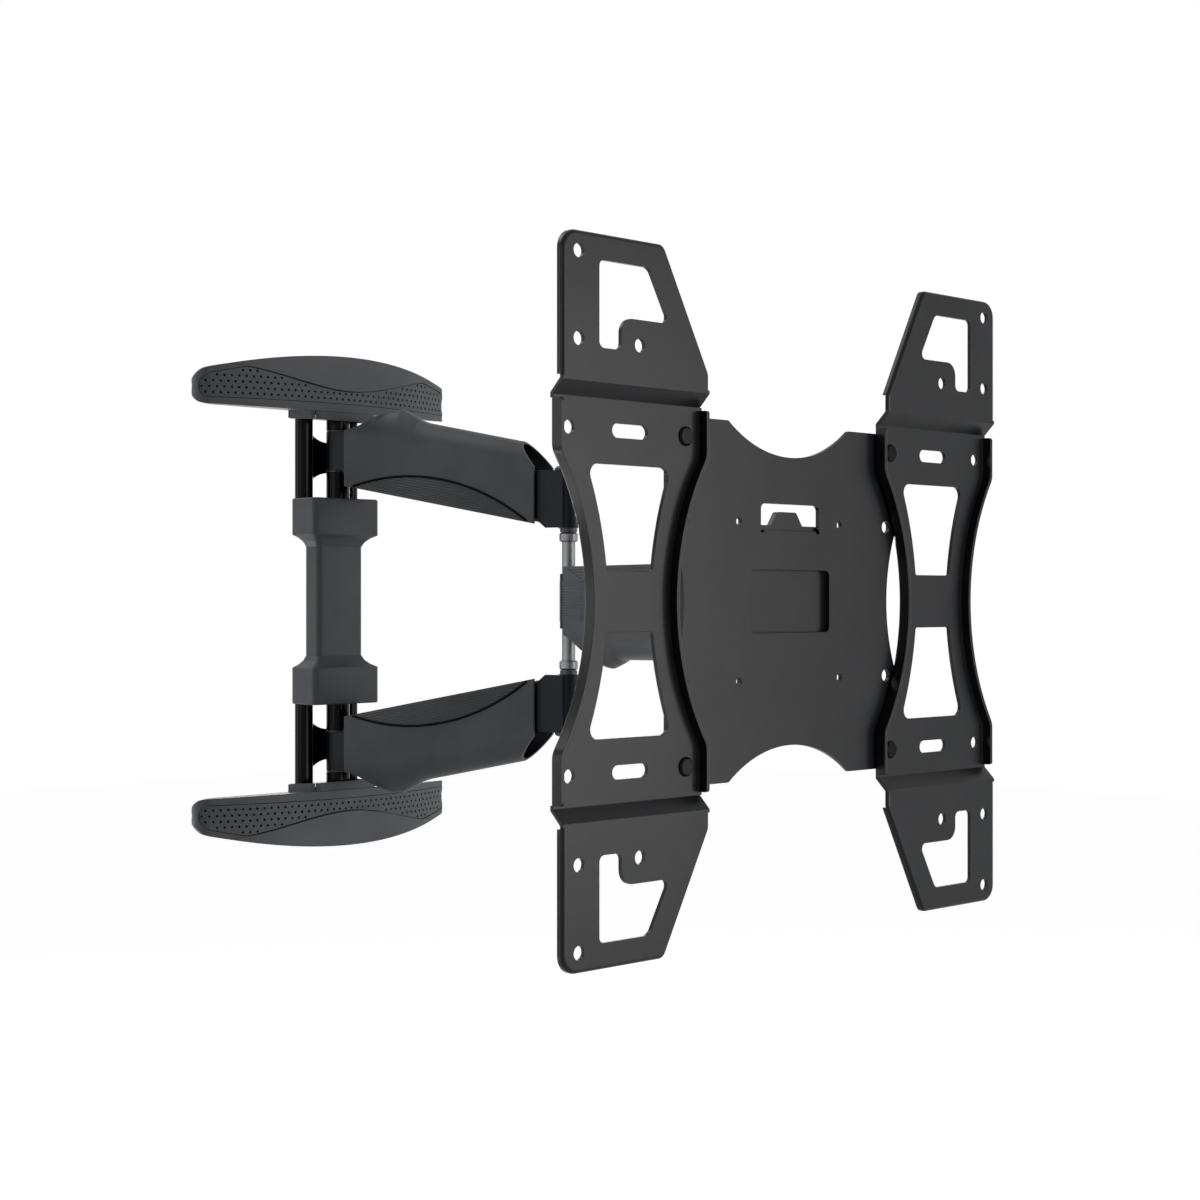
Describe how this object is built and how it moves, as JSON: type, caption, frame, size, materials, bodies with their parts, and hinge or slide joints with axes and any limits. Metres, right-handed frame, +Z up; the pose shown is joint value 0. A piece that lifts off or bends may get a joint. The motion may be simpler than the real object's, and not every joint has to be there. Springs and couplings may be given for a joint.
{
  "type": "full motion tv wall mount",
  "caption": "Full motion TV wall mount: covered wall unit, paired arms on a vertical elbow, forearm, and a tilting plate with screen brackets.",
  "frame": {"origin": "on the wall, at the middle of the wall unit", "axes": "+X to the viewer's right, +Y into the wall, +Z up"},
  "size_m": [0.4252, 0.5092, 0.4236],
  "materials": {
    "plate_steel": "fine black powder coat",
    "arm_steel": "blue-black powder coat",
    "black_steel": "gloss black coat",
    "cover_plastic": "satin charcoal moulding",
    "bush_plastic": "plain moulded bush",
    "zinc_steel": "zinc plated"
  },
  "bodies": {
    "wall_unit": {"wall_plate_upper": "arm_steel", "wall_plate_lower": "arm_steel", "upright": "black_steel", "upper_cover": "cover_plastic", "lower_cover": "cover_plastic", "column_cover": "cover_plastic", "shoulder_pins": "black_steel", "shoulder_spacers": "black_steel", "rod_screws": "zinc_steel"},
    "arm_pair": {"upper_arm": "arm_steel", "lower_arm": "arm_steel", "upper_arm_cover": "cover_plastic", "lower_arm_cover": "cover_plastic", "shoulder_bushes": "bush_plastic", "elbow_bushes": "bush_plastic", "elbow_caps": "cover_plastic"},
    "forearm_body": {"forearm": "arm_steel", "forearm_cover": "cover_plastic", "elbow_shaft": "black_steel", "elbow_rings": "black_steel", "pan_bushes": "bush_plastic"},
    "pan_body": {"pan_head": "arm_steel", "pan_bolt": "zinc_steel", "pan_nut": "zinc_steel"},
    "tilt_body": {"tilt_bracket": "arm_steel", "tilt_washers": "bush_plastic", "tilt_bolt": "zinc_steel", "tilt_nut": "zinc_steel", "level_washer": "bush_plastic"},
    "screen_plate": {"head_plate": "plate_steel", "level_stud": "zinc_steel", "level_nut": "zinc_steel", "centre_plate": "plate_steel", "left_bracket": "plate_steel", "right_bracket": "plate_steel", "bracket_bolts": "black_steel", "lock_screw": "zinc_steel", "lock_nut": "zinc_steel"}
  },
  "joints": [
    {"name": "shoulder_swing", "type": "hinge", "parent": "wall_unit", "child": "arm_pair", "pos_m": [0, -0.0285, 0], "axis": [0, 0, 1], "range_deg": [-82, 52]},
    {"name": "elbow_bend", "type": "hinge", "parent": "arm_pair", "child": "forearm_body", "pos_m": [0.05532, -0.2373, 0], "axis": [0, 0, -1], "range_deg": [-149, 90]},
    {"name": "pan", "type": "hinge", "parent": "forearm_body", "child": "pan_body", "pos_m": [0, -0.44609, 0], "axis": [0, 0, 1], "range_deg": [-104, 75]},
    {"name": "tilt", "type": "hinge", "parent": "pan_body", "child": "tilt_body", "pos_m": [0, -0.472, 0], "axis": [1, 0, 0], "range_deg": [-5, 15]},
    {"name": "level", "type": "hinge", "parent": "tilt_body", "child": "screen_plate", "pos_m": [0, -0.49, 0], "axis": [0, -1, 0], "range_deg": [-3, 3]}
  ]
}
